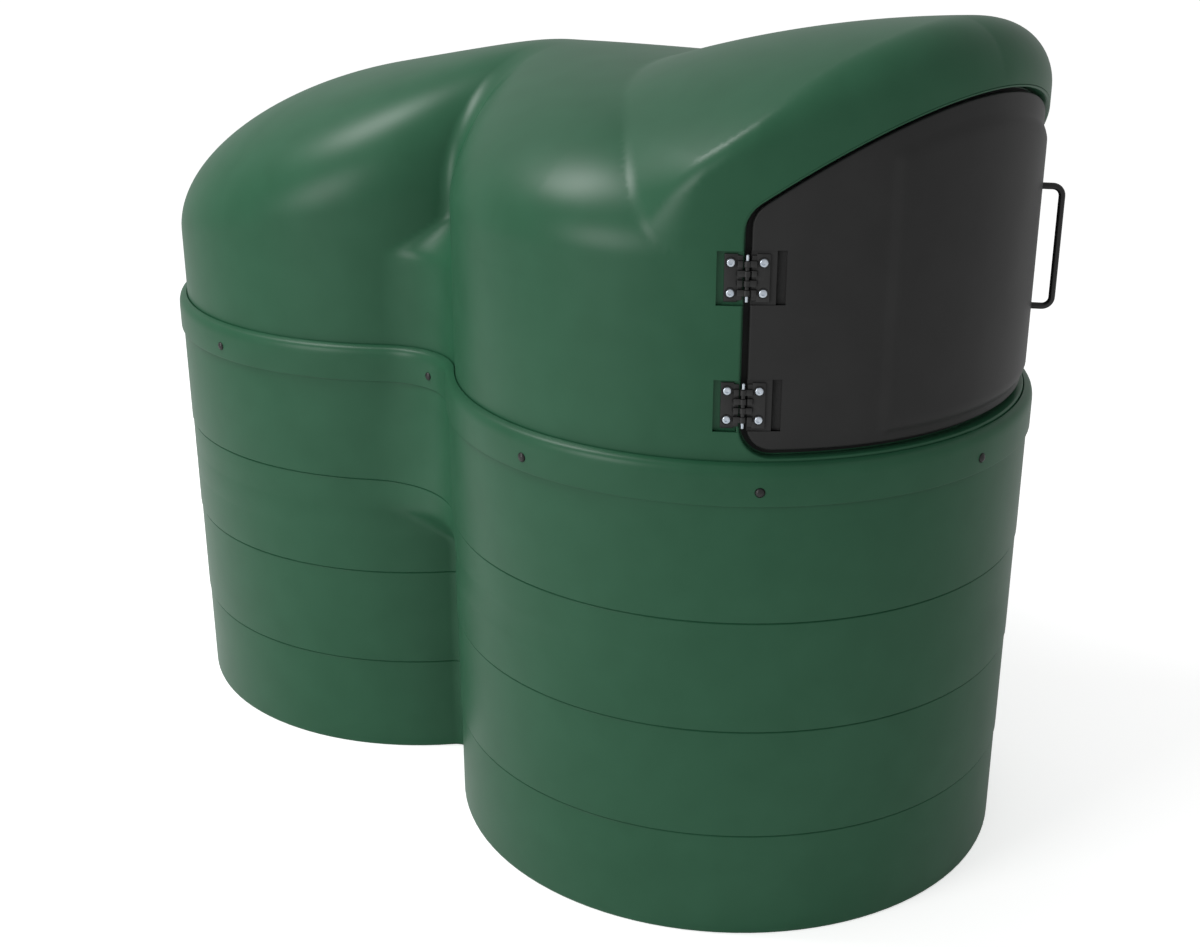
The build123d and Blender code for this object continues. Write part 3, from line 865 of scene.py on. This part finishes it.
def hinge_leaf(name, height, body, side, plastic, screw_metal):
    """Leaf on one side of the pin with its knuckles, and its two screws."""
    clear = KNUCKLE_RADIUS + KNUCKLE_CLEAR
    neck_tall = HINGE_TALL - NECK_SHORT
    parts = [
        leaf_block(side, HUMP_REACH, LEAF_REACH, -AXIS_PROUD, height, HINGE_TALL),
        leaf_block(side, clear, HUMP_REACH + NECK_LAP, -AXIS_PROUD, height, neck_tall),
    ]
    for n in range(KNUCKLES):
        z = height + (n - (KNUCKLES - 1) / 2) * KNUCKLE_PITCH
        own = (n % 2 == 0) == (side == -1)
        start = 0 if own else clear
        parts.append(leaf_block(side, start, HUMP_REACH + HUMP_LAP, HUMP_RISE, z, KNUCKLE_TALL))
        if own:
            parts.append(knuckle(z))
    if side == -1:
        parts.append(sleeve(height))
    screws = []
    for up in (-1, 1):
        place = Matrix.Translation((-AXIS_PROUD, side * SCREW_OUT, height + up * SCREW_UP)) @ TO_X
        parts.append(moved(lathe(SCREW_RING), place))
        screws.append(moved(lathe(SCREW_HEAD), place))
    obj = piece(f"{name}_leaf_{body}", *moved(together(*parts), HINGE_PLACE), plastic, body, 40)
    leaf = "door_leaf" if side == 1 else "hood_leaf"
    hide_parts(f"{name}_hinge_{leaf}")
    heads = piece(f"{name}_screws_{body}", *moved(together(*screws), HINGE_PLACE), screw_metal, body, 40)


def hinge_pin(name, height, metal):
    """Steel pin of a hinge with tapered ends."""
    half = HINGE_TALL / 2
    tip, taper = PIN_TIP
    turned = lathe([(tip, -half), (PIN_RADIUS, taper - half), (PIN_RADIUS, half - taper), (tip, half)], 24)
    pin = piece(f"{name}_pin", *moved(turned, HINGE_PLACE @ Matrix.Translation((0, 0, height))), metal)
    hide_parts(f"{name}_hinge_pin")


def pocket_linings(name, height, green, black):
    """Tray behind the hood's pocket and well behind the slot in the door's."""
    low, high = height - POCKET_TALL / 2, height + POCKET_TALL / 2
    tray_low = (-POCKET_FLOOR, -HOOD_POCKET, low)
    tray_high = (0, -DOOR_GAP / 2 - TRAY_SHORT, high)
    tray = lining(f"{name}_tray_tank", tray_low, tray_high, TRAY_RIM, green, "tank", 1)
    well_low = (-SLOT_DEPTH, DOOR_POCKET - SLOT_WIDE, low)
    well = lining(f"{name}_tray_door", well_low, (0, DOOR_POCKET, high), WELL_RIM, black, "door")


def hinge(name, height, plastic, screw_metal, green, black):
    """Moulded hinge: two screwed leaves that share a slotted barrel on a steel pin."""
    hinge_leaf(name, height, "tank", -1, plastic, screw_metal)
    hinge_leaf(name, height, "door", 1, plastic, screw_metal)
    hinge_pin(name, height, screw_metal)
    pocket_linings(name, height, green, black)


def tube(path, radius, turns=24):
    """Points and faces of a round rod along a path in the X and Z directions."""
    path = np.array(path)
    way = np.gradient(path, axis=0)
    way /= np.linalg.norm(way, axis=1)[:, None]
    angles = np.linspace(0, 2 * pi, turns, endpoint=False)
    rise = radius * np.cos(angles)
    rows = []
    for (x, z), (dx, dz) in zip(path, way):
        rows.append(np.stack([x - dz * rise, radius * np.sin(angles), z + dx * rise], 1))
    return joined(rows, capped=True)


def handle(finish):
    """Bail handle bent from one rod, standing on the raised panel."""
    foot = DOOR_RADIUS + PANEL_RISE - HANDLE_SINK
    grip = DOOR_RADIUS + PANEL_RISE + HANDLE_REACH
    high = HANDLE_LOW + HANDLE_LONG
    turns = np.linspace(0, pi / 2, 9)
    bend = [(grip - HANDLE_BEND * (1 - sin(t)), HANDLE_LOW + HANDLE_BEND * (1 - cos(t))) for t in turns]
    lower = [(foot, HANDLE_LOW), (foot + HANDLE_START, HANDLE_LOW), *bend]
    upper = [(x, HANDLE_LOW + high - z) for x, z in lower[::-1]]
    place = Matrix.Translation((LOBE, 0, 0)) @ Matrix.Rotation(HANDLE_ANGLE, 4, "Z")
    obj = piece("bail_handle", *moved(tube(lower + upper, HANDLE_ROD / 2), place), finish, "door", 60)
    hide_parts("door_handle")


def rim_screws(finish):
    """Dome-headed screws round the skirt, one to each 45 degrees and one at each side of the waist."""
    turns = np.linspace(0, pi / 2 - DOME_STOP, 8)
    dome = [(RIM_SCREW * cos(t), RIM_SCREW_RISE * sin(t) - RIM_SCREW_SINK) for t in turns]
    washer = [(RIM_SCREW + past, z) for past, z in RIM_WASHER]
    head = lathe([*washer, *dome])
    spots = [(LOBE, SKIRT_RADIUS, angle) for angle in RIM_ANGLES]
    spots += [(-LOBE, SKIRT_RADIUS, angle + 180) for angle in RIM_ANGLES]
    spots += [(0, SKIRT_WAIST, angle) for angle in (90, -90)]
    parts = []
    for centre, radius, angle in spots:
        place = Matrix.Translation((centre, 0, RIM_SCREW_HEIGHT)) @ Matrix.Rotation(radians(angle), 4, "Z")
        parts.append(moved(head, place @ Matrix.Translation((radius, 0, 0)) @ TO_X))
    obj = piece("rim_screws", *together(*parts), finish, sharp=50)


# Materials

def linear(code):
    """Linear colour from an sRGB hex code."""
    parts = [int(code[n:n + 2], 16) / 255 for n in (0, 2, 4)]
    return (*[p / 12.92 if p <= 0.04045 else ((p + 0.055) / 1.055) ** 2.4 for p in parts], 1.0)


def label_of(name):
    """Label of a node's input from its name in small letters."""
    return name.replace("_", " ").title().replace("Ior", "IOR")


def add(tree, kind, **inputs):
    """Add a node: each name is a property or an input, set to a value or joined to an output."""
    node = tree.nodes.new(kind)
    for name, value in inputs.items():
        label = label_of(name)
        if label not in node.inputs:
            setattr(node, name, value)
        elif isinstance(value, bpy.types.NodeSocket):
            tree.links.new(value, node.inputs[label])
        else:
            node.inputs[label].default_value = value
    return node


def material(name, colour, roughness, **sockets):
    """New material with a plain surface; returns it with its node tree and surface node."""
    made = bpy.data.materials.new(name)
    made.use_nodes = True
    tree = made.node_tree
    surface = tree.nodes["Principled BSDF"]
    surface.inputs["Base Color"].default_value = linear(colour)
    surface.inputs["Roughness"].default_value = roughness
    for socket, value in sockets.items():
        surface.inputs[label_of(socket)].default_value = value
    return made, tree, surface


def speckled(tree, place, size_mm, colours):
    """Colour that drifts between two hex codes in patches of a size, in millimetres."""
    stops = (0.3, 0.7)
    noise = add(tree, "ShaderNodeTexNoise", vector=place, scale=1000.0 / size_mm, detail=3.0)
    ramp_node = add(tree, "ShaderNodeValToRGB", fac=noise.outputs["Fac"])
    for stop, at, code in zip(ramp_node.color_ramp.elements, stops, colours):
        stop.position = at
        stop.color = linear(code)
    return ramp_node.outputs["Color"]


def textured(name, colours, roughness, patch_mm, grain_mm, relief_mm, **sockets):
    """Matt moulded or coated finish: soft patches of tone, and a fine grain with a relief in mm."""
    low, high = roughness
    made, tree, surface = material(name, colours[0], low, **sockets)
    place = add(tree, "ShaderNodeTexCoord").outputs["Object"]
    tree.links.new(speckled(tree, place, patch_mm, colours), surface.inputs["Base Color"])
    grain = add(tree, "ShaderNodeTexNoise", vector=place, scale=1000.0 / grain_mm, detail=4.0)
    wear = add(tree, "ShaderNodeTexNoise", vector=place, scale=1000.0 / (patch_mm * 3), detail=5.0)
    rough = add(tree, "ShaderNodeMapRange", value=wear.outputs["Fac"], to_min=low, to_max=high)
    tree.links.new(rough.outputs["Result"], surface.inputs["Roughness"])
    bump = add(tree, "ShaderNodeBump", height=grain.outputs["Fac"], distance=relief_mm * MM, strength=1.0)
    tree.links.new(bump.outputs["Normal"], surface.inputs["Normal"])
    return made


def soft_lamp(name, place, aim, size, power):
    """Large square lamp that points at a place, in metres."""
    data = bpy.data.lights.new(name, "AREA")
    data.size = size
    data.energy = power
    lamp = bpy.data.objects.new(name, data)
    bpy.context.scene.collection.objects.link(lamp)
    lamp.location = place
    lamp.rotation_euler = (Vector(aim) - Vector(place)).to_track_quat("-Z", "Y").to_euler()


# Finishes

# Rotationally moulded green polyethylene: matt, waxy, with the faint orange peel of the mould.
green = textured(
    "rotomoulded_green_polyethylene", ("235239", "27563D"), (0.34, 0.42), 90.0, 2.5, 0.05,
    specular_ior_level=0.25,
)
# Rotationally moulded black polyethylene: the same skin, darker, so that only its sheen shows its curve.
black = textured(
    "rotomoulded_black_polyethylene", ("2A2A2A", "2D2D2D"), (0.40, 0.48), 90.0, 2.5, 0.05,
    specular_ior_level=0.2,
)
# Glass-filled nylon of hinges and caps: a tighter spark-eroded grain and a greyer sheen than the door.
nylon = textured("glass_filled_nylon", ("141414", "1C1C1C"), (0.38, 0.46), 20.0, 0.8, 0.05)
# Extruded EPDM rubber of the seal: dead matt and the blackest thing in the gap.
rubber = textured("extruded_epdm_rubber", ("0B0B0B", "121212"), (0.7, 0.8), 25.0, 1.5, 0.04)
# Powder-coated steel rod: satin black with a slight orange peel, so a line of light runs along it.
coated = textured("powder_coated_steel", ("131313", "191919"), (0.28, 0.36), 30.0, 1.2, 0.03)
# Zinc-plated steel of screws and pins: bluish silver, passivated, drawn fine by turning.
zinc = textured("zinc_plated_steel", ("C6D0DC", "DCE4EC"), (0.3, 0.42), 8.0, 0.5, 0.01, metallic=1.0)

# Pieces
for obj, node, slot_name in (
    (bund_tank(green), "bund_tank", "green_polyethylene"),
    (hood_shell(green), "hood", "green_polyethylene"),
    (opening_frame(green), "hood", "green_polyethylene"),
    (door_seal(rubber), "door_seal", "black_rubber"),
    (door_skin(black), "door_panel", "black_polyethylene"),
):
    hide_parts(node)
for name, height in HINGE_HEIGHTS.items():
    hinge(name, height, nylon, zinc, green, black)
handle(coated)
rim_screws(nylon)

# The solids of the cabinet's inside are shown as they are, in their finishes
FINISHES = {
    green: ("inner_tank", "inner_tank_top"),
    black: ("inspection_ring", "inspection_lid", "fill_pipe", "vent_pipe"),
    nylon: ("fill_cap", "vent_cap", "gauge_socket", "gauge_cap", "outlet_socket", "outlet_plug"),
}
for finish, names in FINISHES.items():
    for name in names:
        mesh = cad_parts[name].data
        mesh.materials.clear()
        mesh.materials.append(finish)

# Matt white floor that the camera sees as lit evenly, with the tank's shadow on it
plain, tree, surface = material("matt_white_floor", "FFFFFF", 0.9, specular_ior_level=0.0)
by_camera = add(tree, "ShaderNodeLightPath").outputs["Is Camera Ray"]
tree.links.new(by_camera, surface.inputs["Emission Strength"])
surface.inputs["Emission Color"].default_value = linear("C0C0C0")
bpy.ops.mesh.primitive_plane_add(size=60)
floor = bpy.context.object
floor.name = "floor"
floor.data.materials.append(plain)

# White behind the tank for the camera, and half as strong where it lights the tank
world = bpy.data.worlds.new("studio")
bpy.context.scene.world = world
world.use_nodes = True
tree = world.node_tree
tree.nodes.clear()
backdrop = add(tree, "ShaderNodeBackground", color=(1, 1, 1, 1), strength=1.0)
fill = add(tree, "ShaderNodeBackground", color=(1, 1, 1, 1), strength=0.5)
path = add(tree, "ShaderNodeLightPath")
choose = add(tree, "ShaderNodeMixShader", fac=path.outputs["Is Camera Ray"])
tree.links.new(fill.outputs[0], choose.inputs[1])
tree.links.new(backdrop.outputs[0], choose.inputs[2])
add(tree, "ShaderNodeOutputWorld", surface=choose.outputs[0])

# Lamps, placed in metres
soft_lamp("overhead", (-1.6, -1.8, 4.6), (0, 0, 0.9), 1.4, 95)
soft_lamp("side", (-0.5, -6.5, 2.8), (0.4, 0, 1.0), 2.4, 140)

# Camera
optics = bpy.data.cameras.new("camera")
optics.sensor_width = 36.0
optics.lens = LENS
optics.clip_end = 100
camera = bpy.data.objects.new("camera", optics)
camera.location = CAMERA_PLACE
level = cos(CAMERA_DOWN)
forward = Vector((level * cos(CAMERA_TURN), level * sin(CAMERA_TURN), -sin(CAMERA_DOWN)))
camera.rotation_euler = forward.to_track_quat("-Z", "Y").to_euler()
scene = bpy.context.scene
scene.collection.objects.link(camera)
scene.camera = camera
scene.view_settings.view_transform = "Standard"
